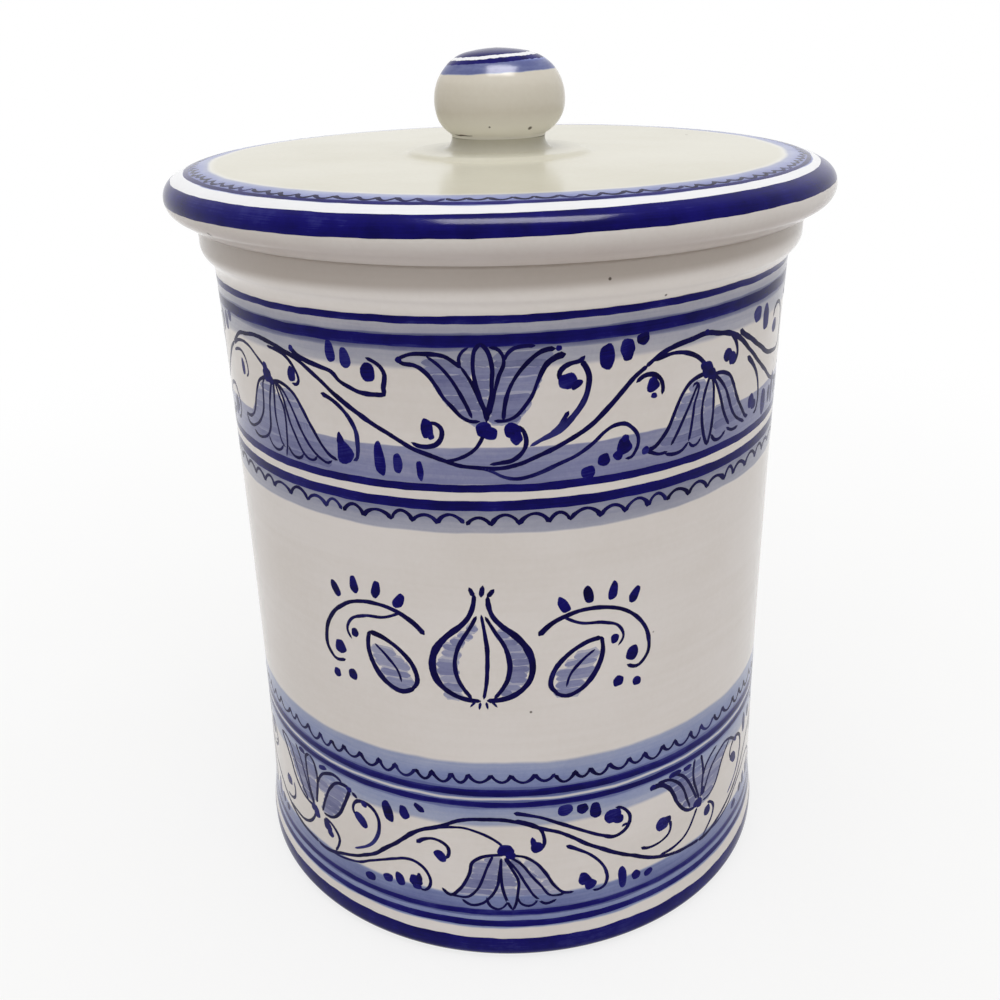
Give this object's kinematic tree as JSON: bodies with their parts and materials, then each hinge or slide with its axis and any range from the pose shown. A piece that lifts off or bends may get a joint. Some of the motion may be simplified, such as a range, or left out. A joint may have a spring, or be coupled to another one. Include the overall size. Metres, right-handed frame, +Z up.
{
  "type": "garlic keeper",
  "caption": "Straight-walled glazed ceramic jar with a coved collar, a rolled-edge drop-on lid and a ball knob, for keeping heads of garlic.",
  "frame": {"origin": "centre of the foot, on the table", "axes": "+Z up along the turning axis of jar, lid and knob; -Y towards the front of the painting"},
  "size_m": [0.124, 0.124, 0.1645],
  "materials": {
    "jar_glaze": "glossy glaze, painted in blue",
    "lid_glaze": "glossy glaze, painted in blue",
    "knob_glaze": "glossy glaze, painted in blue"
  },
  "bodies": {
    "jar": {"jar": "jar_glaze"},
    "lid": {"lid": "lid_glaze", "knob": "knob_glaze"}
  },
  "joints": [
    {"name": "lid_lift", "type": "slide", "parent": "jar", "child": "lid", "axis": [0, 0, 1], "range_m": [0, 0.12]}
  ]
}
